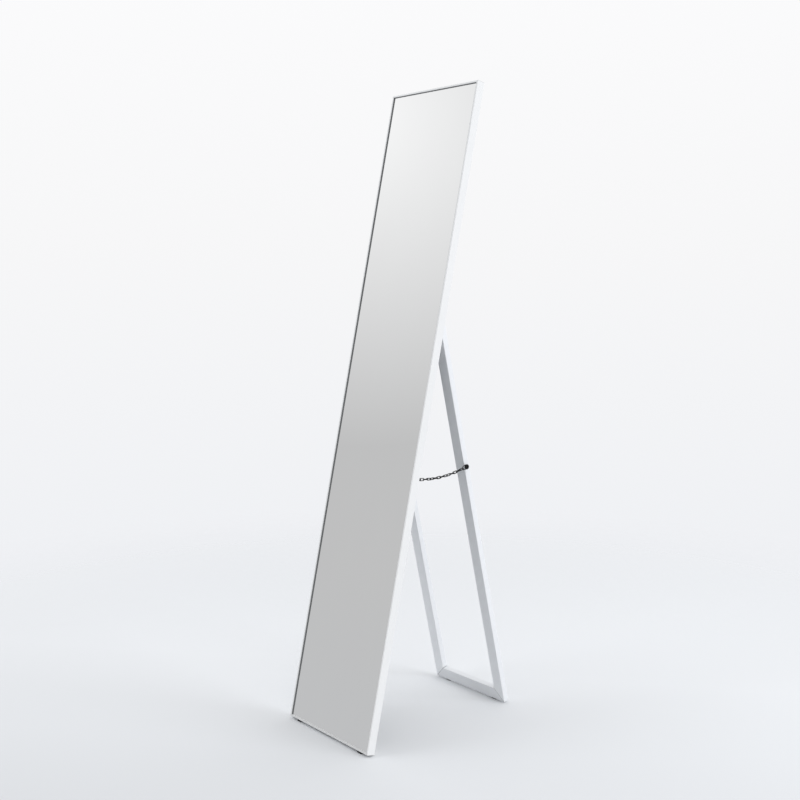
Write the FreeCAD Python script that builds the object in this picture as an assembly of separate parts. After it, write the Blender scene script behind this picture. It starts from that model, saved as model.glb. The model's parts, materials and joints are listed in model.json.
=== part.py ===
import FreeCAD, Part
import math
import os

from FreeCAD import Placement, Rotation, Vector

os.makedirs("parts", exist_ok=True)

# Standing mirror: a framed mirror panel that leans back on a hinged leg frame, held open by a chain.
# Millimetres and degrees. X runs across the mirror, Y to the back, Z up; the floor is Z = 0.
# The origin is on the floor, in the middle of the space that the mirror stands on.

# Mirror panel
panel_width = 300.0
panel_length = 1530.0
panel_depth = 21.0
lean_angle = 12.6
edge_radius = 0.8

# Frame section, from the outer edge inwards and from the front to the back
lip_width = 4.0
frame_width = 24.0
glass_recess = 3.0
glass_thickness = 4.0
tape_thickness = 1.0
board_thickness = 3.0
glass_clearance = 0.5

# Grey glazing seal that lines the lip in front of the glass
seal_thickness = 1.2
seal_setback = 1.0

# Strips of foam tape between the glass and the board
tape_width = 20.0
tape_count = 3
tape_margin = 45.0

# Splines glued across the mitres, and dowels that hold the hinge rail
spline_length = 16.0
spline_width = 10.0
spline_thickness = 2.5
dowel_diameter = 5.0
dowel_length = 24.0
dowel_spacing = 36.0
dowel_clearance = 0.05

# Hinge rail across the back of the panel
hinge_height = 980.0
hinge_rail_above = 14.0
hinge_rail_below = 46.0

# Butt hinges, set in from the sides of the leg
hinge_inset = 55.0
leaf_width = 40.0
leaf_height = 24.0
leaf_thickness = 1.5
axis_gap = 2.75
knuckle_radius = 2.4
knuckle_count = 5
knuckle_gap = 0.3
pin_radius = 1.25
pin_clearance = 0.05
pin_head_radius = 1.9
pin_head_height = 0.8

# Countersunk screws of the hinges
screw_length = 10.0
screw_radius = 1.4
screw_tip = 3.0
screw_head_radius = 2.8
screw_head_height = 1.4
screw_clearance = 0.05
recess_width = 0.7
recess_span = 3.0
recess_depth = 0.7
screw_spread = 13.0
screw_low_row = 17.0
screw_high_row = 9.0

# Support leg, as wide as the hinge rail less a gap at each side
leg_side_gap = 1.0
rail_width = 30.0
rail_thickness = 15.0
rail_edge_radius = 1.2
fold_angle = 25.35
leg_top_rise = 5.0
leg_mitre_gap = 0.5

# Feet: wedges between the sloping ends and the floor
foot_width = 16.0
foot_corner_radius = 2.0
panel_foot_depth = 13.0
panel_foot_setback = 4.0
panel_foot_inset = 33.0
panel_foot_height = 1.5
leg_foot_depth = 11.0
leg_foot_setback = 2.0
leg_foot_inset = 40.0
leg_foot_height = 2.5

# Screw eye in the back of the panel's right stile, for one end of the chain
eye_diameter = 12.0
eye_wire = 3.4
eye_shank_radius = 1.5
eye_standoff = 0.3
eye_bite = 8.0
panel_eye_height = 620.4
panel_eye_inset = 10.5

# Round-headed screw in the outer side of the leg's right rail, for the other end
ring_screw_radius = 1.7
ring_screw_bite = 14.0
ring_screw_neck = 3.8
ring_screw_play = 0.8
ring_screw_head_radius = 6.2
ring_screw_head_height = 3.0
ring_screw_head_round = 2.2
ring_screw_recess_width = 1.1
ring_screw_recess_span = 5.0
ring_screw_recess_depth = 1.2
ring_screw_drop = 353.0
ring_screw_depth = 3.5

# Chain: an oval ring at each end and oval links between them, laid along one shallow arc with a slight twist
ring_length = 17.0
panel_ring_width = 7.0
leg_ring_width = 11.0
ring_wire = 1.5
link_length = 15.3
link_width = 6.6
link_wire = 1.9
link_turn = 75.0
chain_gap = 0.3
chain_sag = 7.9

# Values that follow from the sizes above
base_front = glass_recess + glass_thickness + tape_thickness + board_thickness
base_middle = (base_front + panel_depth) / 2
glass_inset = lip_width + glass_clearance
leg_angle = fold_angle - lean_angle
half_panel = panel_width / 2
half_hinge_rail = half_panel - frame_width
half_leg = half_hinge_rail - leg_side_gap
leg_width = 2 * half_leg
hinge_offset = half_leg - hinge_inset
eye_ring_radius = (eye_diameter - eye_wire) / 2
eye_reach = eye_standoff + eye_diameter / 2
shank_reach = eye_reach + eye_bite
# A foot is cut from a block that is long enough to pass the floor anywhere under its sloping end.
foot_reach = panel_foot_height + leg_foot_height + panel_depth + rail_thickness

along_x = Vector(1, 0, 0)
along_y = Vector(0, 1, 0)
along_z = Vector(0, 0, 1)
no_turn = Rotation()

lean = math.radians(lean_angle)
splay = math.radians(leg_angle)

# The panel's front bottom edge stands off the floor, and the leg's length reaches the floor from the hinge.
front_edge_z = panel_depth * math.sin(lean) + panel_foot_height
axis_depth = panel_depth + axis_gap
axis_y = hinge_height * math.sin(lean) + axis_depth * math.cos(lean)
axis_z = front_edge_z + hinge_height * math.cos(lean) - axis_depth * math.sin(lean)
leg_drop = (axis_z + axis_gap * math.sin(splay) - leg_foot_height) / math.cos(splay)
leg_back = axis_y + (axis_gap + rail_thickness) * math.cos(splay) + leg_drop * math.sin(splay)
front_edge_y = -leg_back / 2

# Panel pieces are made upright, front face on Y = 0 and bottom edge on Z = 0, and then leaned back.
panel_place = Placement(Vector(0, front_edge_y, front_edge_z), Rotation(along_x, -lean_angle))
# Leg pieces are made upright round the hinge axis, front face at Y = axis_gap, and then splayed.
leg_place = Placement(Vector(0, front_edge_y + axis_y, axis_z), Rotation(along_x, leg_angle))


def box(x0, x1, y0, y1, z0, z1):
    """A block between two corners."""
    return Part.makeBox(x1 - x0, y1 - y0, z1 - z0, Vector(x0, y0, z0))


def outline_face(corners):
    """A face from corners (point, radius): straight sides with each corner rounded by its radius."""
    starts, ends, arcs = [], [], []
    for i, (corner, radius) in enumerate(corners):
        before = (corners[i - 1][0] - corner).normalize()
        after = (corners[(i + 1) % len(corners)][0] - corner).normalize()
        half = before.getAngle(after) / 2
        cut = radius / math.tan(half)
        start = corner + before * cut
        end = corner + after * cut
        starts.append(start)
        ends.append(end)
        if radius > 0:
            inward = (before + after).normalize()
            middle = corner + inward * (radius / math.sin(half) - radius)
            arcs.append(Part.Arc(start, middle, end).toShape())
        else:
            arcs.append(None)
    edges = []
    for i, arc in enumerate(arcs):
        if arc:
            edges.append(arc)
        edges.append(Part.LineSegment(ends[i], starts[(i + 1) % len(arcs)]).toShape())
    return Part.Face(Part.Wire(edges))


def rounded_block(x0, x1, y0, y1, z0, z1, radius):
    """A block whose four upright edges are rounded."""
    corners = [Vector(x0, y0, z0), Vector(x1, y0, z0), Vector(x1, y1, z0), Vector(x0, y1, z0)]
    return outline_face([(corner, radius) for corner in corners]).extrude(along_z * (z1 - z0))


def mitred_member(section, length, width, depth, gap):
    """A length of moulding along X, outer edge on Z = 0, with both ends cut at 45 degrees."""
    bar = section.extrude(along_x * length)
    bar.translate(along_x * (-length / 2))
    end = length / 2 - gap / 2 * math.sqrt(2)
    plan = [Vector(-end, 0, 0), Vector(end, 0, 0), Vector(end - width, 0, width),
            Vector(width - end, 0, width)]
    wedge = Part.Face(Part.makePolygon(plan + plan[:1])).extrude(along_y * depth)
    return bar.common(wedge)


def mitred_frame(section, width, height, member_width, depth, gap):
    """The four members of a rectangle that stands on Z = 0, in the order bottom, right, top, left."""
    layout = [
        (width, 0, Vector(0, 0, 0)),
        (height, -90, Vector(width / 2, 0, height / 2)),
        (width, 180, Vector(0, 0, height)),
        (height, 90, Vector(-width / 2, 0, height / 2)),
    ]
    members = []
    for length, turn, place in layout:
        member = mitred_member(section, length, member_width, depth, gap)
        member.Placement = Placement(place, Rotation(along_y, turn))
        members.append(member)
    return members


def corner_splines(width, height, member_width, middle):
    """Flat keys across the four mitres of a frame that stands on Z = 0."""
    keys = []
    for side in (-1, 1):
        for level in (-1, 1):
            key = box(-spline_length / 2, spline_length / 2, -spline_thickness / 2, spline_thickness / 2,
                      -spline_width / 2, spline_width / 2)
            inset = member_width / 2
            spot = Vector(side * (width / 2 - inset), middle, height / 2 + level * (height / 2 - inset))
            key.Placement = Placement(spot, Rotation(along_y, 45 * side * level))
            keys.append(key)
    return keys


def without(shape, tools):
    """The shape with every tool cut out of it."""
    return shape.cut(Part.makeCompound(tools))


def frame_section():
    """Section of the panel's moulding: a thin lip round the glass and a wider base behind the board."""
    corners = [
        (Vector(0, 0, 0), edge_radius),
        (Vector(0, 0, lip_width), edge_radius / 2),
        (Vector(0, base_front, lip_width), 0),
        (Vector(0, base_front, frame_width), 0),
        (Vector(0, panel_depth, frame_width), edge_radius / 2),
        (Vector(0, panel_depth, 0), edge_radius),
    ]
    return outline_face(corners)


def rail_section():
    """Section of the leg's rails: a flat bar with eased edges."""
    corners = [Vector(0, 0, 0), Vector(0, 0, rail_width), Vector(0, rail_thickness, rail_width),
               Vector(0, rail_thickness, 0)]
    return outline_face([(corner, rail_edge_radius) for corner in corners])


def glazing_layer(front, thickness):
    """A sheet in the rebate, the glass or the board: on the bottom rail, clear at its sides and top."""
    return box(glass_inset - half_panel, half_panel - glass_inset, front, front + thickness,
               lip_width, panel_length - glass_inset)


def edge_seals():
    """Three strips that line the lip in front of the glass: right, top, left. None is under the glass."""
    half_width = half_panel - lip_width
    top = panel_length - lip_width
    left = box(-half_width, -half_width + seal_thickness, seal_setback, glass_recess,
               lip_width, top - seal_thickness)
    right = left.translated(along_x * (2 * half_width - seal_thickness))
    upper = box(-half_width, half_width, seal_setback, glass_recess, top - seal_thickness, top)
    return [right, upper, left]


def foam_tape():
    """Upright strips of foam tape, spread evenly across the back of the glass."""
    front = glass_recess + glass_thickness
    first = tape_margin + tape_width / 2 - half_panel
    step = -2 * first / (tape_count - 1)
    strips = []
    for i in range(tape_count):
        middle = first + i * step
        strips.append(box(middle - tape_width / 2, middle + tape_width / 2, front, front + tape_thickness,
                          tape_margin, panel_length - tape_margin))
    return strips


def hinge_rail_dowels(radius):
    """Two dowels at each end of the hinge rail, half in the rail and half in the stile."""
    level = hinge_height + (hinge_rail_above - hinge_rail_below) / 2
    start = half_hinge_rail - dowel_length / 2
    dowels = []
    for step in (-dowel_spacing / 2, dowel_spacing / 2):
        spot = Vector(start, base_middle, level + step)
        dowels.append(Part.makeCylinder(radius, dowel_length, spot, along_x))
        spot = Vector(-start - dowel_length, base_middle, level + step)
        dowels.append(Part.makeCylinder(radius, dowel_length, spot, along_x))
    return dowels


def hinge_leaf(offset, side, own_first):
    """One leaf of a hinge, round its axis at the origin: side -1 lies on the panel, 1 on the leg."""
    inner = axis_gap - leaf_thickness
    near, far = sorted((side * inner, side * axis_gap))
    leaf = box(offset - leaf_width / 2, offset + leaf_width / 2, near, far, -leaf_height, 0)
    length = (leaf_width - (knuckle_count - 1) * knuckle_gap) / knuckle_count
    own, other = [], []
    for i in range(knuckle_count):
        start = offset - leaf_width / 2 + i * (length + knuckle_gap)
        if (i % 2 == 0) == own_first:
            own.append(Part.makeCylinder(knuckle_radius, length, Vector(start, 0, 0), along_x))
        else:
            room = Vector(start - knuckle_gap, 0, 0)
            other.append(Part.makeCylinder(axis_gap, length + 2 * knuckle_gap, room, along_x))
    bore_start = Vector(offset - leaf_width / 2, 0, 0)
    bore = Part.makeCylinder(pin_radius + pin_clearance, leaf_width, bore_start, along_x)
    holes = leaf_screws(offset, side, screw_clearance, False)
    return without(without(leaf, other).fuse(own).removeSplitter(), [bore] + holes)


def hinge_pin(offset):
    """The pin of one hinge, with a small head at each end."""
    start = offset - leaf_width / 2
    shaft = Part.makeCylinder(pin_radius, leaf_width, Vector(start, 0, 0), along_x)
    heads = [Part.makeCylinder(pin_head_radius, pin_head_height, Vector(end, 0, 0), along_x)
             for end in (start - pin_head_height, start + leaf_width)]
    return shaft.fuse(heads)


def countersunk_screw(clearance, with_recess):
    """A countersunk screw that points down from the origin, with a cross recess in its head."""
    shank = screw_radius + clearance
    profile = [
        Vector(0, 0, 0),
        Vector(screw_head_radius + clearance, 0, 0),
        Vector(shank, 0, -screw_head_height),
        Vector(shank, 0, screw_tip - screw_length),
        Vector(0, 0, -screw_length - clearance),
    ]
    screw = Part.Face(Part.makePolygon(profile + profile[:1])).revolve(Vector(), along_z, 360)
    if not with_recess:
        return screw
    half_width = recess_width / 2
    half_span = recess_span / 2
    cross = [box(-half_width, half_width, -half_span, half_span, -recess_depth, recess_depth),
             box(-half_span, half_span, -half_width, half_width, -recess_depth, recess_depth)]
    return without(screw, cross)


def leaf_screws(offset, side, clearance, with_recess):
    """The three screws of a leaf, heads flush with it: side -1 goes into the panel, 1 into the leg."""
    spots = [(-screw_spread, -screw_low_row), (screw_spread, -screw_low_row), (0, -screw_high_row)]
    turn = Rotation(along_x, 90 * side)
    screws = []
    for across, level in spots:
        screw = countersunk_screw(clearance, with_recess)
        place = Vector(offset + across, side * (axis_gap - leaf_thickness), level)
        screw.Placement = Placement(place, turn)
        screws.append(screw)
    return screws


def screw_eye():
    """A screw eye: a ring of wire round the origin in the XZ plane, with its shank along -X."""
    ring = Part.makeTorus(eye_ring_radius, eye_wire / 2, Vector(), along_y)
    shank_length = shank_reach - eye_ring_radius
    shank = Part.makeCylinder(eye_shank_radius, shank_length, Vector(-shank_reach, 0, 0), along_x)
    return ring.fuse(shank).removeSplitter()


def eye_bore():
    """The hole that a screw eye's shank fills."""
    return Part.makeCylinder(eye_shank_radius, shank_reach, Vector(-shank_reach, 0, 0), along_x)


def ring_screw():
    """A round-headed screw along X, on whose neck the chain's ring hangs. The rail's side is at X = 0."""
    top = ring_screw_neck + ring_screw_head_height
    outline = [
        (Vector(-ring_screw_bite, 0, 0), 0),
        (Vector(-ring_screw_bite, ring_screw_radius, 0), 0),
        (Vector(ring_screw_neck, ring_screw_radius, 0), 0),
        (Vector(ring_screw_neck, ring_screw_head_radius, 0), 0),
        (Vector(top, ring_screw_head_radius, 0), ring_screw_head_round),
        (Vector(top, 0, 0), 0),
    ]
    screw = outline_face(outline).revolve(Vector(), along_x, 360)
    half_width = ring_screw_recess_width / 2
    half_span = ring_screw_recess_span / 2
    floor = top - ring_screw_recess_depth
    cross = [box(floor, top + half_span, -half_width, half_width, -half_span, half_span),
             box(floor, top + half_span, -half_span, half_span, -half_width, half_width)]
    return without(screw, cross)


def ring_screw_bore():
    """The hole that the ring screw's shank fills."""
    return Part.makeCylinder(ring_screw_radius, ring_screw_bite, Vector(-ring_screw_bite, 0, 0), along_x)


def oval_link(length, width, wire):
    """A welded oval link round the origin, long side on X, in the XY plane."""
    bend = (width - wire) / 2
    straight = length - wire - 2 * bend
    pieces = []
    for side in (-1, 1):
        start = Vector(-straight / 2, side * bend, 0)
        pieces.append(Part.makeCylinder(wire / 2, straight, start, along_x))
        arch = Part.makeTorus(bend, wire / 2, Vector(), along_z, 0, 360, 180)
        arch.Placement = Placement(Vector(side * straight / 2, 0, 0), Rotation(along_z, -90 * side))
        pieces.append(arch)
    return pieces[0].fuse(pieces[1:]).removeSplitter()


class ChainArc:
    """The shallow arc that the chain hangs in, from the panel's eye to the leg's screw."""

    def __init__(self, start, end, sag):
        chord = end - start
        half = chord.Length / 2
        self.radius = (half * half + sag * sag) / (2 * sag)
        self.along = Vector(chord).normalize()
        drop = -along_z + self.along * self.along.z
        self.down = drop.normalize()
        self.centre = (start + end) / 2 + self.down * (sag - self.radius)
        self.half_turn = math.asin(half / self.radius)
        self.length = 2 * self.half_turn * self.radius

    def frame(self, distance):
        """The point at a distance along the arc, its forward direction and its outward direction."""
        turn = distance / self.radius - self.half_turn
        outward = self.along * math.sin(turn) + self.down * math.cos(turn)
        forward = self.along * math.cos(turn) - self.down * math.sin(turn)
        return self.centre + outward * self.radius, forward, outward

    def lay(self, shape, distance, turn):
        """A copy of a link at a distance along the arc, turned round the arc from upright by an angle."""
        point, forward, outward = self.frame(distance)
        across = Rotation(forward, turn).multVec(outward)
        laid = shape.copy()
        laid.Placement = Placement(point, Rotation(forward, across, forward.cross(across), "XYZ"))
        return laid


def foot(place, x, front, depth):
    """A rubber wedge under a sloping end: a rounded block cut off level at the floor."""
    block = rounded_block(x - foot_width / 2, x + foot_width / 2, front, front + depth, -foot_reach, 0,
                          foot_corner_radius)
    block.Placement = place
    floor_room = box(-panel_width, panel_width, -leg_back, leg_back, 0, panel_length)
    return block.common(floor_room)


def placed(shape, place):
    """A shape moved to a place."""
    shape.Placement = place
    return shape


def in_leg(shape):
    """A piece made round the hinge axis, moved to the splayed leg."""
    shape.Placement = leg_place.multiply(shape.Placement)
    return shape


def in_panel(shape):
    """A piece made in the upright panel, moved to the leaning panel."""
    shape.Placement = panel_place.multiply(shape.Placement)
    return shape


def on_panel_axis(shape):
    """A hinge piece made round its axis, moved to the hinge height of the upright panel."""
    shape.Placement = Placement(Vector(0, axis_depth, hinge_height), no_turn).multiply(shape.Placement)
    return shape


def on_leg_bottom(shape):
    """A leg piece made on Z = 0, moved down so that its top stands above the hinge axis."""
    shape.Placement = Placement(Vector(0, axis_gap, -leg_drop), no_turn).multiply(shape.Placement)
    return shape


def save(node, shapes):
    """Write one node: a single solid, or a group of separate solids."""
    shape = shapes[0] if len(shapes) == 1 else Part.makeCompound(shapes)
    shape.exportStep("parts/" + node + ".step")


nodes = {}

# Screw eye in the upright panel, and ring screw in the upright leg
panel_eye_place = Placement(Vector(half_panel - panel_eye_inset, panel_depth + eye_reach, panel_eye_height),
                            Rotation(along_z, 90).multiply(Rotation(along_x, 90)))
ring_screw_place = Placement(Vector(half_leg, axis_gap + ring_screw_depth, -ring_screw_drop), no_turn)

# Panel frame, with its splines, the slots for them and the holes for dowels and the eye
panel_splines = corner_splines(panel_width, panel_length, frame_width, base_middle)
dowels = hinge_rail_dowels(dowel_diameter / 2)
dowel_holes = hinge_rail_dowels(dowel_diameter / 2 + dowel_clearance)
panel_bore = placed(eye_bore(), panel_eye_place)
frame_names = ["frame_bottom_rail", "frame_right_stile", "frame_top_rail", "frame_left_stile"]
frame_members = mitred_frame(frame_section(), panel_width, panel_length, frame_width, panel_depth, 0)
for name, member in zip(frame_names, frame_members):
    nodes[name] = [in_panel(without(member, panel_splines + dowel_holes + [panel_bore]))]
nodes["frame_corner_splines"] = [in_panel(key) for key in panel_splines]

# Glass, seals, tape and board
nodes["mirror_glass"] = [in_panel(glazing_layer(glass_recess, glass_thickness))]
seal_names = ["edge_seal_right", "edge_seal_top", "edge_seal_left"]
for name, seal in zip(seal_names, edge_seals()):
    nodes[name] = [in_panel(seal)]
nodes["foam_tape_strips"] = [in_panel(strip) for strip in foam_tape()]
nodes["backing_board"] = [in_panel(glazing_layer(base_front - board_thickness, board_thickness))]

# Hinge rail and its dowels
rail_screws = [on_panel_axis(screw) for offset in (-hinge_offset, hinge_offset)
               for screw in leaf_screws(offset, -1, 0, False)]
hinge_rail = box(-half_hinge_rail, half_hinge_rail, base_front, panel_depth,
                 hinge_height - hinge_rail_below, hinge_height + hinge_rail_above)
nodes["hinge_rail"] = [in_panel(without(hinge_rail, dowel_holes + rail_screws))]
nodes["hinge_rail_dowels"] = [in_panel(dowel) for dowel in dowels]

# Hinges: a leaf on the panel, a leaf on the leg and a pin
panel_screws, leg_screws, leg_screw_holes = [], [], []
for name, offset in (("left", -hinge_offset), ("right", hinge_offset)):
    nodes[name + "_hinge_panel_leaf"] = [in_panel(on_panel_axis(hinge_leaf(offset, -1, True)))]
    nodes[name + "_hinge_leg_leaf"] = [in_leg(hinge_leaf(offset, 1, False))]
    nodes[name + "_hinge_pin"] = [in_panel(on_panel_axis(hinge_pin(offset)))]
    panel_screws += [in_panel(on_panel_axis(screw)) for screw in leaf_screws(offset, -1, 0, True)]
    leg_screws += [in_leg(screw) for screw in leaf_screws(offset, 1, 0, True)]
    leg_screw_holes += leaf_screws(offset, 1, 0, False)
nodes["panel_leaf_screws"] = panel_screws
nodes["leg_leaf_screws"] = leg_screws

# Leg frame, with its splines
leg_height = leg_drop + leg_top_rise
leg_splines = [on_leg_bottom(key) for key in
               corner_splines(leg_width, leg_height, rail_width, rail_thickness / 2)]
leg_bore = placed(ring_screw_bore(), ring_screw_place)
leg_names = ["leg_bottom_rail", "leg_right_rail", "leg_top_rail", "leg_left_rail"]
leg_members = mitred_frame(rail_section(), leg_width, leg_height, rail_width, rail_thickness, leg_mitre_gap)
for name, member in zip(leg_names, leg_members):
    cuts = leg_splines + leg_screw_holes + [leg_bore]
    nodes[name] = [in_leg(without(on_leg_bottom(member), cuts))]
nodes["leg_corner_splines"] = [in_leg(key) for key in leg_splines]

# Feet
for name, side in (("left", -1), ("right", 1)):
    x = side * (half_panel - panel_foot_inset)
    nodes["panel_" + name + "_foot"] = [foot(panel_place, x, panel_foot_setback, panel_foot_depth)]
    x = side * (half_leg - leg_foot_inset)
    bottom_place = leg_place.multiply(Placement(Vector(0, axis_gap, -leg_drop), no_turn))
    nodes["leg_" + name + "_foot"] = [foot(bottom_place, x, leg_foot_setback, leg_foot_depth)]

# Screw eye and ring screw, and the pivots where the end rings hang on them
nodes["panel_screw_eye"] = [in_panel(placed(screw_eye(), panel_eye_place))]
nodes["leg_ring_screw"] = [in_leg(placed(ring_screw(), ring_screw_place))]
panel_pivot = panel_place.multVec(panel_eye_place.multVec(Vector(eye_ring_radius, 0, 0)))
ring_seat = ring_screw_neck - ring_screw_play - ring_wire / 2
leg_pivot = leg_place.multVec(ring_screw_place.multVec(Vector(ring_seat, 0, 0)))

# Chain: the links between the end rings share what is left of the arc evenly
arc = ChainArc(panel_pivot, leg_pivot, chain_sag)
half_ring = (ring_length - ring_wire) / 2
panel_ring_middle = half_ring - (ring_wire + eye_wire) / 2 - chain_gap
leg_ring_middle = arc.length - half_ring + ring_wire / 2 + ring_screw_radius + chain_gap
ring_to_link = half_ring - (ring_wire + link_wire) / 2 - chain_gap + (link_length - link_wire) / 2
first_link = panel_ring_middle + ring_to_link
link_room = leg_ring_middle - ring_to_link - first_link
widest_step = link_length - 2 * link_wire - chain_gap
link_steps = math.ceil(link_room / widest_step)
link_step = link_room / link_steps
middle_link = link_steps // 2

# Each link is turned from the one before it by the same angle. Both rings stand upright, so the twist from
# ring to ring is a whole number of half turns.
turn_count = link_steps + 2
half_turns = round(link_turn * turn_count / 180)
even_turn = 180 * half_turns / turn_count
panel_ring = oval_link(ring_length, panel_ring_width, ring_wire)
leg_ring = oval_link(ring_length, leg_ring_width, ring_wire)
link = oval_link(link_length, link_width, link_wire)
links = [arc.lay(link, first_link + i * link_step, (i + 1) * even_turn) for i in range(link_steps + 1)]
nodes["chain_panel_ring"] = [arc.lay(panel_ring, panel_ring_middle, 0)]
nodes["chain_panel_links"] = links[:middle_link]
nodes["chain_middle_link"] = links[middle_link:middle_link + 1]
nodes["chain_leg_links"] = links[middle_link + 1:]
nodes["chain_leg_ring"] = [arc.lay(leg_ring, leg_ring_middle, 0)]

for node, shapes in nodes.items():
    save(node, shapes)

panel_joint = arc.frame(first_link + (middle_link - 0.5) * link_step)[0]
leg_joint = arc.frame(first_link + (middle_link + 0.5) * link_step)[0]
print("nodes", len(nodes), "links", len(links), "link step", round(link_step, 3))
print("front edge", round(front_edge_y, 3), round(front_edge_z, 3), "leg drop", round(leg_drop, 3))
print("hinge axis", [round(value, 3) for value in leg_place.Base])
print("panel pivot", [round(value, 3) for value in panel_pivot])
print("leg pivot", [round(value, 3) for value in leg_pivot])
print("middle link joints", [round(value, 3) for value in panel_joint],
      [round(value, 3) for value in leg_joint])
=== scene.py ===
import json
import math

import bpy
import numpy as np
from mathutils import Matrix


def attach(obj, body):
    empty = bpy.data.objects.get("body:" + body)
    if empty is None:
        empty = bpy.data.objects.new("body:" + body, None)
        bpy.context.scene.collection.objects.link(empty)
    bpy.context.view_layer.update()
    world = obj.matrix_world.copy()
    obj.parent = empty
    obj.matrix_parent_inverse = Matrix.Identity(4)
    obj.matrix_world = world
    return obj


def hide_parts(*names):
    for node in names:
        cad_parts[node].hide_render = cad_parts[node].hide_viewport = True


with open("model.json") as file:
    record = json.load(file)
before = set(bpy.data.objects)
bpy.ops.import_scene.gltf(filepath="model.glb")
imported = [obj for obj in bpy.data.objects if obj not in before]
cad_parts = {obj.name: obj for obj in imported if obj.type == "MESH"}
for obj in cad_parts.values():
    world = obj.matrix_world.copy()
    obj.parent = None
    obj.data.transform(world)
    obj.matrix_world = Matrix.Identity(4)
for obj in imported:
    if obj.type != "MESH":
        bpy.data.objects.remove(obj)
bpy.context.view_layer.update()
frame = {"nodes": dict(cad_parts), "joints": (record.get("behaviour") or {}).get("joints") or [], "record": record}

# Standing mirror: finishes, chain, screw eye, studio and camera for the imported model.
# Metres, in the frame of the model: X across, Y to the back, Z up.
pivots = {joint["name"]: np.array(joint["pos_m"]) for joint in frame["joints"]}
MM = 0.001

# Panel and leg, in millimetres and degrees: what the finishes need to follow the mitres
lean_angle = 12.6
panel_width = 300.0
panel_length = 1530.0
panel_depth = 21.0
hinge_height = 980.0
axis_gap = 2.75
leg_angle = 12.75
leg_width = 250.0
leg_top_rise = 5.0
leg_foot_height = 2.5

# Chain, screw eye and ring screw, in millimetres and degrees
chain_sag = 7.9
chain_gap = 0.3
ring_length = 17.0
panel_ring_width = 7.0
leg_ring_width = 11.0
ring_wire = 1.5
link_length = 15.3
link_width = 6.6
link_wire = 1.9
link_turn = 75.0
eye_diameter = 12.0
eye_wire = 3.4
eye_shank = 3.0
eye_reach = 14.3
eye_neck_radius = 2.4
eye_end_angle = -138.0
ring_screw_radius = 1.7
# The baked black finish adds this much to the radius of every wire.
finish_build = 0.1

# Where a wire was joined: the share by which it swells or thins there, and its reach in millimetres
weld_swell = (0.12, 0.7)
butt_joint = (-0.4, 0.25)

# Camera: place in metres, turns in degrees, lens in millimetres
camera_place = (2.00043, -1.68981, 1.06907)
camera_pan = math.radians(49.9717)
camera_pitch = math.radians(-6.5564)
camera_roll = math.radians(-0.2712)
camera_lens = 49.9668
camera_sensor = 36.0

# Places that follow from the sizes above and the hinge axis
lean = math.radians(lean_angle)
splay = math.radians(leg_angle)
hinge_axis = pivots["leg_fold"]
axis_depth = panel_depth + axis_gap
axis_rise = np.array([0.0, hinge_height * math.sin(lean) + axis_depth * math.cos(lean),
                      hinge_height * math.cos(lean) - axis_depth * math.sin(lean)])
panel_corner = hinge_axis - axis_rise * MM
leg_drop = (hinge_axis[2] / MM + axis_gap * math.sin(splay) - leg_foot_height) / math.cos(splay)

# A Mix node set to colours. Its sockets go by number, because those for plain numbers have the same names.
COLOURS = {"data_type": "RGBA"}
FACTOR = 0
FIRST = 6
SECOND = 7
MIXED = 2


def linear(code):
    """An sRGB hex colour as linear red, green, blue and alpha."""
    srgb = np.array([int(code[i:i + 2], 16) for i in (1, 3, 5)]) / 255
    low = srgb / 12.92
    high = ((srgb + 0.055) / 1.055) ** 2.4
    return (*np.where(srgb <= 0.04045, low, high).tolist(), 1.0)


def add(tree, kind, settings=None, values=None, links=None):
    """Add a node with its settings and input values, and link earlier outputs to its inputs."""
    node = tree.nodes.new(kind)
    for name, value in (settings or {}).items():
        setattr(node, name, value)
    for name, value in (values or {}).items():
        node.inputs[name].default_value = value
    for name, socket in (links or {}).items():
        tree.links.new(socket, node.inputs[name])
    return node.outputs


def new_material(name, **sockets):
    """A material with constant values on its shader: its tree, its shader and its Object coordinates."""
    material = bpy.data.materials.new(name)
    material.use_nodes = True
    tree = material.node_tree
    tree.nodes.clear()
    shader = tree.nodes.new("ShaderNodeBsdfPrincipled")
    for socket, value in sockets.items():
        shader.inputs[socket.replace("_", " ")].default_value = value
    add(tree, "ShaderNodeOutputMaterial", links={"Surface": shader.outputs["BSDF"]})
    place = add(tree, "ShaderNodeTexCoord")["Object"]
    return material, tree, shader, place


def connect(tree, shader, **sockets):
    """Link worked-out colours, roughness and normals to the shader's sockets."""
    for socket, output in sockets.items():
        tree.links.new(output, shader.inputs[socket.replace("_", " ")])


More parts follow.
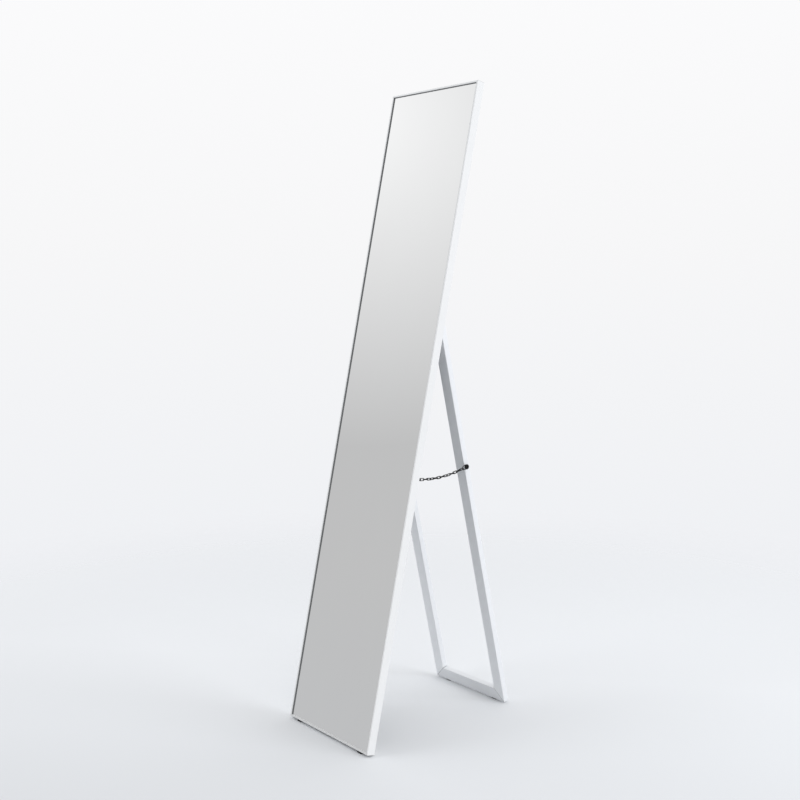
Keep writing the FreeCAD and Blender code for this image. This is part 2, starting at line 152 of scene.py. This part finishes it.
def satin_lacquer(name, tints, corner, tilt, half_width, low, high, seam_depth, low_shade_reach, low_shade_depth):
    """White satin lacquer, sprayed on wood: even and pale, with a faint orange peel and a soft broad gloss.

    A hairline runs where the mitres meet: there the distance from the outer side equals the distance from
    the nearer end, in the upright frame of the piece. The foot of the bottom rail is painted a shade greyer:
    painted shade, for the light that falls off near the floor. The corner is in metres, and the other sizes
    are in millimetres.
    """
    cloud_size = 90 * MM
    peel_size = 2.2 * MM
    peel_height = 0.02 * MM
    seam_core = 0.4 * MM
    seam_edge = 0.9 * MM
    low_shade_fade = 1.3
    material, tree, shader, place = new_material(name)
    own = add(tree, "ShaderNodeMapping", {"vector_type": "TEXTURE"},
              {"Location": tuple(corner), "Rotation": (tilt, 0, 0)}, {"Vector": place})
    axes = add(tree, "ShaderNodeSeparateXYZ", links={"Vector": own[0]})
    out = add(tree, "ShaderNodeMath", {"operation": "ABSOLUTE"}, links={0: axes["X"]})
    inset = add(tree, "ShaderNodeMath", {"operation": "SUBTRACT"}, {0: half_width * MM}, {1: out[0]})
    above = add(tree, "ShaderNodeMath", {"operation": "SUBTRACT"}, {1: low * MM}, {0: axes["Z"]})
    below = add(tree, "ShaderNodeMath", {"operation": "SUBTRACT"}, {0: high * MM}, {1: axes["Z"]})
    end = add(tree, "ShaderNodeMath", {"operation": "MINIMUM"}, links={0: above[0], 1: below[0]})
    across = add(tree, "ShaderNodeMath", {"operation": "SUBTRACT"}, links={0: inset[0], 1: end[0]})
    off = add(tree, "ShaderNodeMath", {"operation": "ABSOLUTE"}, links={0: across[0]})
    seam = add(tree, "ShaderNodeMapRange", None,
               {"From Min": seam_core, "From Max": seam_edge, "To Min": seam_depth, "To Max": 0.0},
               {"Value": off[0]})
    cloud = add(tree, "ShaderNodeTexNoise", None, {"Scale": 1 / cloud_size, "Detail": 3.0},
                {"Vector": place})
    tint = add(tree, "ShaderNodeMix", COLOURS, {FIRST: linear(tints[0]), SECOND: linear(tints[1])},
               {FACTOR: cloud["Fac"]})
    # Painted shade: the foot of the bottom rail is mixed towards grey, for the light that falls off near the
    # floor.
    lowest = add(tree, "ShaderNodeMapRange", None,
                 {"From Min": low_shade_reach * MM, "From Max": low_shade_fade * low_shade_reach * MM,
                  "To Min": low_shade_depth, "To Max": 0.0}, {"Value": above[0]})
    on_rail = add(tree, "ShaderNodeMath", {"operation": "GREATER_THAN"}, {1: 0.0}, {0: across[0]})
    low_shade = add(tree, "ShaderNodeMath", {"operation": "MULTIPLY"}, links={0: lowest[0], 1: on_rail[0]})
    low_shaded = add(tree, "ShaderNodeMix", COLOURS, {SECOND: linear("#8A8B8C")},
                {FACTOR: low_shade[0], FIRST: tint[MIXED]})
    colour = add(tree, "ShaderNodeMix", COLOURS, {SECOND: linear("#5E5D5B")},
                 {FACTOR: seam[0], FIRST: low_shaded[MIXED]})
    gloss = add(tree, "ShaderNodeMapRange", None, {"To Min": 0.36, "To Max": 0.48}, {"Value": cloud["Fac"]})
    peel = add(tree, "ShaderNodeTexNoise", None, {"Scale": 1 / peel_size, "Detail": 2.0}, {"Vector": place})
    bump = add(tree, "ShaderNodeBump", None, {"Strength": 0.25, "Distance": peel_height},
               {"Height": peel["Fac"]})
    connect(tree, shader, Base_Color=colour[MIXED], Roughness=gloss[0], Normal=bump[0])
    return material


def silvered_glass():
    """Float glass, silvered behind: a clear neutral image, with a trace of haze where it was wiped."""
    haze_size = 70 * MM
    wipe_squeeze = (1.0, 1.0, 0.25)
    material, tree, shader, place = new_material("silvered_float_glass", Metallic=1.0)
    wipe = add(tree, "ShaderNodeMapping", None, {"Scale": wipe_squeeze}, {"Vector": place})
    haze = add(tree, "ShaderNodeTexNoise", None, {"Scale": 1 / haze_size, "Detail": 4.0},
               {"Vector": wipe[0]})
    tint = add(tree, "ShaderNodeMix", COLOURS, {FIRST: linear("#F1F2F1"), SECOND: linear("#F0F0F0")},
               {FACTOR: haze["Fac"]})
    blur = add(tree, "ShaderNodeMapRange", None,
               {"From Min": 0.45, "From Max": 0.8, "To Min": 0.0, "To Max": 0.03}, {"Value": haze["Fac"]})
    connect(tree, shader, Base_Color=tint[MIXED], Roughness=blur[0])
    return material


def grey_seal_and_gap_shade():
    """Extruded grey rubber of the seal strips round the glass: matt, with a fine chalky bloom that is paler and
    rougher in spots. Its dark grey is partly painted shade, for the shadow in the gap between glass and frame.
    """
    bloom_size = 1.5 * MM
    bloom_height = 0.05 * MM
    material, tree, shader, place = new_material("grey_seal_rubber_and_gap_shade")
    bloom = add(tree, "ShaderNodeTexNoise", None, {"Scale": 1 / bloom_size, "Detail": 2.0},
                {"Vector": place})
    # Painted shade: the seal's dark grey also stands for the shadow in the gap round the glass.
    tint = add(tree, "ShaderNodeMix", COLOURS, {FIRST: linear("#787A7B"), SECOND: linear("#888A8B")},
               {FACTOR: bloom["Fac"]})
    gloss = add(tree, "ShaderNodeMapRange", None, {"To Min": 0.55, "To Max": 0.75}, {"Value": bloom["Fac"]})
    bump = add(tree, "ShaderNodeBump", None, {"Strength": 0.4, "Distance": bloom_height},
               {"Height": bloom["Fac"]})
    connect(tree, shader, Base_Color=tint[MIXED], Roughness=gloss[0], Normal=bump[0])
    return material


def moulded_rubber():
    """Moulded black rubber: dull, with a pebbled grain from the mould and pale dirt in its hollows."""
    pebble_size = 0.9 * MM
    pebble_height = 0.12 * MM
    material, tree, shader, place = new_material("moulded_black_rubber")
    grain = add(tree, "ShaderNodeTexVoronoi", None, {"Scale": 1 / pebble_size}, {"Vector": place})
    tint = add(tree, "ShaderNodeMix", COLOURS, {FIRST: linear("#111112"), SECOND: linear("#262627")},
               {FACTOR: grain["Distance"]})
    gloss = add(tree, "ShaderNodeMapRange", None, {"To Min": 0.6, "To Max": 0.85},
                {"Value": grain["Distance"]})
    bump = add(tree, "ShaderNodeBump", {"invert": True}, {"Strength": 0.5, "Distance": pebble_height},
               {"Height": grain["Distance"]})
    connect(tree, shader, Base_Color=tint[MIXED], Roughness=gloss[0], Normal=bump[0])
    return material


def foam_tape():
    """White closed-cell foam tape: chalky, with small open cells along its cut edges."""
    cell_size = 0.6 * MM
    cell_depth = 0.15 * MM
    material, tree, shader, place = new_material("closed_cell_foam", Roughness=0.9)
    cells = add(tree, "ShaderNodeTexVoronoi", None, {"Scale": 1 / cell_size}, {"Vector": place})
    tint = add(tree, "ShaderNodeMix", COLOURS, {FIRST: linear("#CFCFCB"), SECOND: linear("#E6E6E2")},
               {FACTOR: cells["Distance"]})
    bump = add(tree, "ShaderNodeBump", None, {"Strength": 0.7, "Distance": cell_depth},
               {"Height": cells["Distance"]})
    connect(tree, shader, Base_Color=tint[MIXED], Normal=bump[0])
    return material


def painted_hardboard():
    """Hardboard, pressed on a wire screen and rolled with grey paint: a fine square mesh under a matt coat.

    The mesh is the product of two sines across and along the board. A real screen has about 1.2 mm between
    its wires, too fine to show, so it is drawn 3 mm apart. The coat is mottled, and darker in the mesh.
    """
    mesh_pitch = 3.0 * MM
    mottle_size = 35 * MM
    fibre_size = 1.8 * MM
    fibre_share = 0.6
    relief_depth = 0.12 * MM
    material, tree, shader, place = new_material("painted_hardboard")
    own = add(tree, "ShaderNodeMapping", {"vector_type": "TEXTURE"},
              {"Location": tuple(panel_corner), "Rotation": (-lean, 0, 0)}, {"Vector": place})
    phase = add(tree, "ShaderNodeVectorMath", {"operation": "SCALE"}, {"Scale": 2 * math.pi / mesh_pitch},
                {0: own[0]})
    wave = add(tree, "ShaderNodeVectorMath", {"operation": "SINE"}, links={0: phase[0]})
    axes = add(tree, "ShaderNodeSeparateXYZ", links={"Vector": wave[0]})
    mesh = add(tree, "ShaderNodeMath", {"operation": "MULTIPLY"}, links={0: axes["X"], 1: axes["Z"]})
    mottle = add(tree, "ShaderNodeTexNoise", None, {"Scale": 1 / mottle_size, "Detail": 5.0},
                 {"Vector": place})
    fibre = add(tree, "ShaderNodeTexNoise", None, {"Scale": 1 / fibre_size, "Detail": 2.0},
                {"Vector": place})
    coat = add(tree, "ShaderNodeMix", COLOURS, {FIRST: linear("#66696C"), SECOND: linear("#737679")},
               {FACTOR: mottle["Fac"]})
    thin = add(tree, "ShaderNodeMapRange", None,
               {"From Min": 0.2, "From Max": 1.0, "To Min": 0.0, "To Max": 0.35}, {"Value": mesh[0]})
    colour = add(tree, "ShaderNodeMix", COLOURS, {SECOND: linear("#55575A")},
                 {FACTOR: thin[0], FIRST: coat[MIXED]})
    gloss = add(tree, "ShaderNodeMapRange", None, {"To Min": 0.62, "To Max": 0.8}, {"Value": mottle["Fac"]})
    relief = add(tree, "ShaderNodeMath", {"operation": "MULTIPLY_ADD"}, {1: fibre_share},
                 {0: fibre["Fac"], 2: mesh[0]})
    bump = add(tree, "ShaderNodeBump", {"invert": True}, {"Strength": 0.5, "Distance": relief_depth},
               {"Height": relief[0]})
    connect(tree, shader, Base_Color=colour[MIXED], Roughness=gloss[0], Normal=bump[0])
    return material


def bare_beech():
    """Bare beech: pale pinkish tan, with short dark flecks along the grain, which runs across the panel."""
    fleck_width = 0.8 * MM
    fleck_squeeze = (0.1, 1.0, 1.0)
    fleck_depth = 0.05 * MM
    material, tree, shader, place = new_material("bare_beech", Roughness=0.65)
    grain = add(tree, "ShaderNodeMapping", None, {"Scale": fleck_squeeze}, {"Vector": place})
    fleck = add(tree, "ShaderNodeTexNoise", None, {"Scale": 1 / fleck_width, "Detail": 3.0},
                {"Vector": grain[0]})
    dark = add(tree, "ShaderNodeMapRange", None, {"From Min": 0.5, "From Max": 0.7},
               {"Value": fleck["Fac"]})
    tint = add(tree, "ShaderNodeMix", COLOURS, {FIRST: linear("#CDAA82"), SECOND: linear("#A67F58")},
               {FACTOR: dark[0]})
    bump = add(tree, "ShaderNodeBump", {"invert": True}, {"Strength": 0.3, "Distance": fleck_depth},
               {"Height": dark[0]})
    connect(tree, shader, Base_Color=tint[MIXED], Normal=bump[0])
    return material


def zinc_plate(name, streak_length, streak_width, bright, dull):
    """Zinc-plated steel: bluish grey metal with the rolling or turning streaks of the steel under it.

    The streaks run across the panel, and their length and width are in millimetres.
    """
    bloom_size = 9 * MM
    streak_height = 0.02 * MM
    material, tree, shader, place = new_material(name, Metallic=1.0)
    stretch = add(tree, "ShaderNodeMapping", None, {"Scale": (streak_width / streak_length, 1.0, 1.0)},
                  {"Vector": place})
    streak = add(tree, "ShaderNodeTexNoise", None, {"Scale": 1 / (streak_width * MM), "Detail": 3.0},
                 {"Vector": stretch[0]})
    bloom = add(tree, "ShaderNodeTexNoise", None, {"Scale": 1 / bloom_size, "Detail": 2.0},
                {"Vector": place})
    tint = add(tree, "ShaderNodeMix", COLOURS, {FIRST: linear(dull), SECOND: linear(bright)},
               {FACTOR: bloom["Fac"]})
    gloss = add(tree, "ShaderNodeMapRange", None, {"To Min": 0.26, "To Max": 0.5}, {"Value": streak["Fac"]})
    bump = add(tree, "ShaderNodeBump", None, {"Strength": 0.3, "Distance": streak_height},
               {"Height": streak["Fac"]})
    connect(tree, shader, Base_Color=tint[MIXED], Roughness=gloss[0], Normal=bump[0])
    return material


def blackened_wire():
    """Drawn steel wire with a baked black finish: near black, with a low sheen, and browner where rubbed."""
    rub_size = 2.5 * MM
    rub_height = 0.04 * MM
    material, tree, shader, place = new_material("blackened_steel_wire", Specular_IOR_Level=0.25)
    rub = add(tree, "ShaderNodeTexNoise", None, {"Scale": 1 / rub_size, "Detail": 3.0}, {"Vector": place})
    worn = add(tree, "ShaderNodeMapRange", None, {"From Min": 0.55, "From Max": 0.75},
               {"Value": rub["Fac"]})
    tint = add(tree, "ShaderNodeMix", COLOURS, {FIRST: linear("#0A0A0B"), SECOND: linear("#221F1C")},
               {FACTOR: worn[0]})
    gloss = add(tree, "ShaderNodeMapRange", None, {"To Min": 0.55, "To Max": 0.4}, {"Value": worn[0]})
    bump = add(tree, "ShaderNodeBump", None, {"Strength": 0.3, "Distance": rub_height},
               {"Height": rub["Fac"]})
    connect(tree, shader, Base_Color=tint[MIXED], Roughness=gloss[0], Normal=bump[0])
    return material


panel_lacquer = satin_lacquer(
    "satin_white_lacquer_panel", ("#EDEEEE", "#F3F3F3"), corner=panel_corner, tilt=-lean,
    half_width=panel_width / 2, low=0.0, high=panel_length,
    seam_depth=0.3, low_shade_reach=5.0, low_shade_depth=0.2)
# The leg's tints are a little cooler than the panel's, though both are the same lacquer: a painted cool cast, for
# the bluish shade on the leg's front faces.
leg_lacquer = satin_lacquer(
    "satin_white_lacquer_leg", ("#EBEDF0", "#F1F3F5"), corner=hinge_axis, tilt=splay,
    half_width=leg_width / 2, low=-leg_drop, high=leg_top_rise,
    seam_depth=0.7, low_shade_reach=30.0, low_shade_depth=0.1)
materials = {
    "white_lacquer": panel_lacquer,
    "mirror_glass": silvered_glass(),
    "seal_rubber": grey_seal_and_gap_shade(),
    "foot_rubber": moulded_rubber(),
    "foam_tape": foam_tape(),
    "hardboard": painted_hardboard(),
    "joinery_wood": bare_beech(),
    "hinge_steel": zinc_plate("zinc_plated_sheet", streak_length=12.0, streak_width=0.4,
                              bright="#C9CBCE", dull="#B4B8BE"),
    "screw_steel": zinc_plate("zinc_plated_screw", streak_length=1.5, streak_width=0.3,
                              bright="#CBCBC8", dull="#AEB0B2"),
    "blackened_steel": blackened_wire(),
}
for row in frame["record"]["subparts"]:
    piece = frame["nodes"][row["node"]]
    lacquered_leg = row["node"].startswith("leg_") and row["material_slot"] == "white_lacquer"
    piece.data.materials.clear()
    piece.data.materials.append(leg_lacquer if lacquered_leg else materials[row["material_slot"]])


def unit(vectors):
    """Vectors scaled to length 1, along the last axis."""
    return vectors / np.linalg.norm(vectors, axis=-1, keepdims=True)


def new_piece(name, slot, body, nodes, points, faces):
    """A smooth mesh that stands for CAD nodes: it rides on their body and takes their finish."""
    mesh = bpy.data.meshes.new(name)
    mesh.from_pydata((points.reshape(-1, 3) * MM).tolist(), [], faces)
    mesh.polygons.foreach_set("use_smooth", np.ones(len(faces), bool))
    mesh.materials.append(materials[slot])
    piece = bpy.data.objects.new(name, mesh)
    bpy.context.scene.collection.objects.link(piece)
    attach(piece, body)
    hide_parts(*nodes)


def round_tubes(paths, normals, radii, sides, closed):
    """Points and faces of round tubes: at each point of a path, radius times a circle across the path.

    paths and normals are (tubes, steps, 3), and radii is (tubes, steps). The circle turns from the normal to
    the binormal, which is the tangent crossed with the normal. A closed path joins its ends, and an open one
    gets a face across each.
    """
    if closed:
        tangents = unit(np.roll(paths, -1, 1) - np.roll(paths, 1, 1))
    else:
        tangents = unit(np.gradient(paths, axis=1))
    normals = unit(normals - (normals * tangents).sum(-1, keepdims=True) * tangents)
    binormals = np.cross(tangents, normals)
    turn = np.linspace(0, 2 * np.pi, sides, endpoint=False)[:, None]
    circle = np.cos(turn) * normals[:, :, None] + np.sin(turn) * binormals[:, :, None]
    points = paths[:, :, None] + radii[:, :, None, None] * circle
    index = np.arange(points[..., 0].size).reshape(points.shape[:3])
    following = np.roll(index, -1, 1)
    quads = np.stack([index, np.roll(index, -1, 2), np.roll(following, -1, 2), following], -1)
    if closed:
        return points, quads.reshape(-1, 4).tolist()
    ends = np.concatenate([index[:, 0, ::-1], index[:, -1]])
    return points, quads[:, :-1].reshape(-1, 4).tolist() + ends.tolist()


class ChainArc:
    """The shallow arc that the chain hangs in: a circle through both pivots that sags by a set drop."""

    def __init__(self, start, end, sag):
        half = np.linalg.norm(end - start) / 2
        self.radius = (half ** 2 + sag ** 2) / (2 * sag)
        self.along = unit(end - start)
        self.down = unit(self.along * self.along[2] - (0, 0, 1))
        self.side = np.cross(self.along, self.down)
        self.centre = (start + end) / 2 + self.down * (sag - self.radius)
        self.half_turn = math.asin(half / self.radius)
        self.length = 2 * self.half_turn * self.radius

    def at(self, distances):
        """Points at distances along the arc, with their forward and outward directions."""
        turn = (distances / self.radius - self.half_turn)[:, None]
        outward = self.along * np.sin(turn) + self.down * np.cos(turn)
        forward = self.along * np.cos(turn) - self.down * np.sin(turn)
        return self.centre + outward * self.radius, forward, outward


def oval_links(arc, distances, turns, size, seam, steps, sides):
    """Oval wire links along an arc, each turned round it from upright by an angle in degrees.

    The oval is two straights joined by half circles. With e the half straight, b the bend's radius and u the
    way round the wire, p is the angle that u has gone round the bends, and top and bottom are how far it has
    gone along the straights. The wire is at x = e - top + bottom - b sin p and y = b cos p. It swells or
    thins by seam where it was joined, in the middle of the first straight.
    """
    length, width, wire = size
    depth, reach = seam
    bend = (width - wire) / 2
    straight = length - wire - 2 * bend
    half_round = math.pi * bend
    u = np.linspace(0, 2 * (straight + half_round), steps, endpoint=False)
    first_bend = np.clip(u - straight, 0, half_round)
    second_bend = np.clip(u - 2 * straight - half_round, 0, half_round)
    turn = (first_bend + second_bend) / bend
    top = np.clip(u, 0, straight)
    bottom = np.clip(u - straight - half_round, 0, straight)
    x = straight / 2 - top + bottom - bend * np.sin(turn)
    y = bend * np.cos(turn)
    points, forward, outward = (part[:, None] for part in arc.at(distances))
    round_arc = np.radians(turns)[:, None, None]
    across = outward * np.cos(round_arc) + arc.side * np.sin(round_arc)
    from_middle = forward * x[:, None] + across * y[:, None]
    radii = (wire / 2 + finish_build) * (1 + depth * np.exp(-((u - straight / 2) / reach) ** 2))
    return round_tubes(points + from_middle, from_middle, np.tile(radii, (len(turns), 1)), sides, True)


def chain():
    """The chain: an upright open ring at each end, and welded links that share the arc between them evenly.

    Each link is turned from the one before it by the same angle, a share of whole half turns from ring to
    ring.
    """
    arc = ChainArc(pivots["chain_panel_swing"] / MM, pivots["chain_leg_swing"] / MM, chain_sag)
    half_ring = (ring_length - ring_wire) / 2
    panel_ring_middle = half_ring - (ring_wire + eye_wire) / 2 - chain_gap
    leg_ring_middle = arc.length - half_ring + ring_wire / 2 + ring_screw_radius + chain_gap
    ring_to_link = half_ring - (ring_wire + link_wire) / 2 - chain_gap + (link_length - link_wire) / 2
    first_link = panel_ring_middle + ring_to_link
    room = leg_ring_middle - ring_to_link - first_link
    widest_step = link_length - 2 * link_wire - chain_gap
    link_steps = math.ceil(room / widest_step)
    middle = link_steps // 2
    order = np.arange(link_steps + 1)
    distances = first_link + order * room / link_steps
    turn_count = link_steps + 2
    half_turns = round(link_turn * turn_count / 180)
    turns = (order + 1) * 180 * half_turns / turn_count
    link_size = (link_length, link_width, link_wire)
    runs = [
        ("chain_panel_run", "chain_panel_half", "chain_panel_links", order < middle),
        ("chain_middle_oval_link", "chain_middle", "chain_middle_link", order == middle),
        ("chain_leg_run", "chain_leg_half", "chain_leg_links", order > middle),
    ]
    for name, body, node, chosen in runs:
        points, faces = oval_links(arc, distances[chosen], turns[chosen], link_size, weld_swell,
                                   steps=80, sides=16)
        new_piece(name, "blackened_steel", body, [node], points, faces)
    rings = [
        ("chain_panel_end_ring", "chain_panel_half", "chain_panel_ring", panel_ring_middle, panel_ring_width),
        ("chain_leg_end_ring", "chain_leg_half", "chain_leg_ring", leg_ring_middle, leg_ring_width),
    ]
    for name, body, node, distance, width in rings:
        ring_size = (ring_length, width, ring_wire)
        points, faces = oval_links(arc, np.array([distance]), np.zeros(1), ring_size, butt_joint,
                                   steps=240, sides=18)
        new_piece(name, "blackened_steel", body, [node], points, faces)


def screw_eye():
    """The panel's screw eye, bent from one wire: a straight shank, a neck and most of a level circle.

    In the eye's plane, x runs out of the wood and z sideways from the circle's centre, and the chain's pivot
    is the circle's outermost point. The neck is an arc that leaves the shank's line and meets the circle from
    outside, so its centre is eye_neck_radius off the line and the two radii apart from the circle's centre.
    At both ends the radius falls off round a quarter circle, cut at the share end_cut to leave a small flat.
    """
    steps = 220
    sides = 20
    end_cut = 0.97
    outward = np.array([0.0, math.cos(lean), -math.sin(lean)])
    sideways = np.array([-1.0, 0.0, 0.0])
    circle = (eye_diameter - eye_wire) / 2
    neck = eye_neck_radius
    neck_x = -math.sqrt((circle + neck) ** 2 - neck ** 2)
    neck_turn = math.acos(neck / (circle + neck))
    circle_start = math.pi - math.asin(neck / (circle + neck))
    shank_end = neck_x + eye_reach
    neck_end = shank_end + neck * neck_turn
    wire_end = neck_end + circle * (circle_start - math.radians(eye_end_angle))
    s = np.linspace(0, wire_end, steps)
    bend = np.clip(s - shank_end, 0, None) / neck
    turn = circle_start - np.clip(s - neck_end, 0, None) / circle
    stretch = [s < shank_end, s < neck_end]
    x = np.select(stretch, [s - eye_reach, neck_x + neck * np.sin(bend)], circle * np.cos(turn))
    z = np.select(stretch, [0 * s, neck - neck * np.cos(bend)], circle * np.sin(turn))
    centre = pivots["chain_panel_swing"] / MM - circle * outward
    path = centre + x[:, None] * outward + z[:, None] * sideways
    thick = finish_build + np.interp(s, [shank_end, neck_end], [eye_shank / 2, eye_wire / 2])
    to_end = np.minimum(s, wire_end - s) / thick
    rounded = np.sqrt(1 - np.clip(1 - to_end, 0, end_cut) ** 2)
    normals = np.broadcast_to(np.cross(outward, sideways), path.shape)
    points, faces = round_tubes(path[None], normals[None], (thick * rounded)[None], sides, False)
    new_piece("panel_eye_wire", "blackened_steel", "mirror_panel", ["panel_screw_eye"], points, faces)


def studio_world():
    """A pale studio, dimmer in front, with one soft glow low on the left that the glass shows.

    Strength is the larger of two: the glow, which falls evenly with the angle from its middle to a plain
    level, and a ramp that rises from front to back and is a little lower towards the floor.
    """
    glow_middle = (-0.7775, -0.4953, 0.3875)
    glow_reach = math.radians(17.0)
    glow_level = 1.11
    left_level = 0.615
    right_level = 0.5
    back_and_up = (0, 0.811, 0.585)
    front_level = 0.5
    back_level = 1.0
    low_share = 0.88
    world = bpy.data.worlds.new("studio")
    world.use_nodes = True
    tree = world.node_tree
    tree.nodes.clear()
    way = add(tree, "ShaderNodeTexCoord")["Generated"]
    axes = add(tree, "ShaderNodeSeparateXYZ", links={"Vector": way})
    near = add(tree, "ShaderNodeVectorMath", {"operation": "DOT_PRODUCT"}, {1: glow_middle}, {0: way})
    angle = add(tree, "ShaderNodeMath", {"operation": "ARCCOSINE"}, links={0: near["Value"]})
    plain = add(tree, "ShaderNodeMapRange", None,
                {"From Min": -0.75, "From Max": 0.75, "To Min": left_level, "To Max": right_level},
                {"Value": axes["X"]})
    glow = add(tree, "ShaderNodeMapRange", None, {"From Max": glow_reach, "To Min": glow_level},
               {"Value": angle[0], "To Max": plain[0]})
    depth = add(tree, "ShaderNodeVectorMath", {"operation": "DOT_PRODUCT"}, {1: back_and_up}, {0: way})
    ramp = add(tree, "ShaderNodeMapRange", None,
               {"From Min": -0.17, "From Max": 0.05, "To Min": front_level, "To Max": back_level},
               {"Value": depth["Value"]})
    rise = add(tree, "ShaderNodeMapRange", None,
               {"From Min": -0.45, "From Max": 0.25, "To Min": low_share, "To Max": 1.0},
               {"Value": axes["Z"]})
    back = add(tree, "ShaderNodeMath", {"operation": "MULTIPLY"}, links={0: ramp[0], 1: rise[0]})
    level = add(tree, "ShaderNodeMath", {"operation": "MAXIMUM"}, links={0: glow[0], 1: back[0]})
    under = add(tree, "ShaderNodeMapRange", None, {"From Min": 0.02, "From Max": -0.3},
                {"Value": axes["Z"]})
    tint = add(tree, "ShaderNodeMix", COLOURS, {FIRST: linear("#FBFBFC"), SECOND: linear("#F8FAFE")},
               {FACTOR: under[0]})
    sky = add(tree, "ShaderNodeBackground", links={"Color": tint[MIXED], "Strength": level[0]})
    add(tree, "ShaderNodeOutputWorld", links={"Surface": sky[0]})
    bpy.context.scene.world = world


def studio_floor():
    """A pale paper floor that keeps the shadow, faded out far away. Its colour is darker towards the front right:
    painted shade, for the light that falls off there.

    It is clear beyond fade_end from the middle, and the glass doesn't show it.
    """
    half_side = 6.0
    corners = [(-half_side, -half_side, 0), (half_side, -half_side, 0),
               (half_side, half_side, 0), (-half_side, half_side, 0)]
    front_right = (0.62, -0.785, 0)
    fade_start = 0.8
    fade_end = 2.4
    mesh = bpy.data.meshes.new("studio_floor")
    mesh.from_pydata(corners, [], [(0, 1, 2, 3)])
    floor = bpy.data.objects.new("studio_floor", mesh)
    bpy.context.scene.collection.objects.link(floor)
    material, tree, shader, place = new_material("studio_paper", Roughness=1.0, Specular_IOR_Level=0.0)
    ahead = add(tree, "ShaderNodeVectorMath", {"operation": "DOT_PRODUCT"}, {1: front_right}, {0: place})
    # Painted shade: the paper darkens towards the front right, for the light that falls off there.
    nearer = add(tree, "ShaderNodeMapRange", None, {"From Min": -0.3, "From Max": 0.72},
                 {"Value": ahead["Value"]})
    tint = add(tree, "ShaderNodeMix", COLOURS, {FIRST: linear("#E8EAEC"), SECOND: linear("#D6D8DA")},
               {FACTOR: nearer[0]})
    connect(tree, shader, Base_Color=tint[MIXED])
    away = add(tree, "ShaderNodeVectorMath", {"operation": "LENGTH"}, links={0: place})
    fade = add(tree, "ShaderNodeMapRange", {"interpolation_type": "SMOOTHSTEP"},
               {"From Min": fade_start, "From Max": fade_end}, {"Value": away["Value"]})
    clear = add(tree, "ShaderNodeBsdfTransparent")
    both = add(tree, "ShaderNodeMixShader", links={0: fade[0], 1: shader.outputs[0], 2: clear[0]})
    tree.links.new(both[0], tree.nodes["Material Output"].inputs["Surface"])
    mesh.materials.append(material)
    floor.visible_glossy = False


def soft_lamp(name, place, target, size, power):
    """A square soft lamp that faces its target. It is a little cool, and the glass doesn't show it."""
    data = bpy.data.lights.new(name, "AREA")
    data.size = size
    data.energy = power
    data.color = linear("#F7FAFF")[:3]
    lamp = bpy.data.objects.new(name, data)
    bpy.context.scene.collection.objects.link(lamp)
    back = unit(np.subtract(place, target))
    right = unit(np.cross((0, 0, 1), back))
    aim = Matrix(np.c_[right, np.cross(back, right), back].tolist())
    lamp.matrix_world = Matrix.Translation(place) @ aim.to_4x4()
    lamp.visible_camera = False
    lamp.visible_glossy = False


def photo_camera():
    """The camera: pan turns it from +Y towards -X, pitch raises it and roll turns it about its own line."""
    ahead = np.array([-math.sin(camera_pan) * math.cos(camera_pitch),
                      math.cos(camera_pan) * math.cos(camera_pitch), math.sin(camera_pitch)])
    right = np.array([math.cos(camera_pan), math.sin(camera_pan), 0.0])
    up = np.cross(right, ahead)
    cosine, sine = math.cos(camera_roll), math.sin(camera_roll)
    right, up = cosine * right + sine * up, cosine * up - sine * right
    data = bpy.data.cameras.new("photo_camera")
    data.lens = camera_lens
    data.sensor_width = camera_sensor
    camera = bpy.data.objects.new("photo_camera", data)
    bpy.context.scene.collection.objects.link(camera)
    turn = Matrix(np.c_[right, up, -ahead].tolist())
    camera.matrix_world = Matrix.Translation(camera_place) @ turn.to_4x4()
    bpy.context.scene.camera = camera


chain()
screw_eye()
studio_world()
studio_floor()
# Lamps: places, targets and sizes in metres, power in watts
soft_lamp("key_lamp", place=(3.1, 1.3, 2.4), target=(0, 0, 0.8), size=2.0, power=43.5)
soft_lamp("high_fill", place=(-0.8, -1.6, 2.0), target=(0, 0.1, 1.5), size=1.0, power=9.5)
soft_lamp("low_fill", place=(-0.7, -2.6, 0.9), target=(0, 0, 0.7), size=1.6, power=0.8)
photo_camera()
bpy.context.scene.view_settings.view_transform = "Standard"
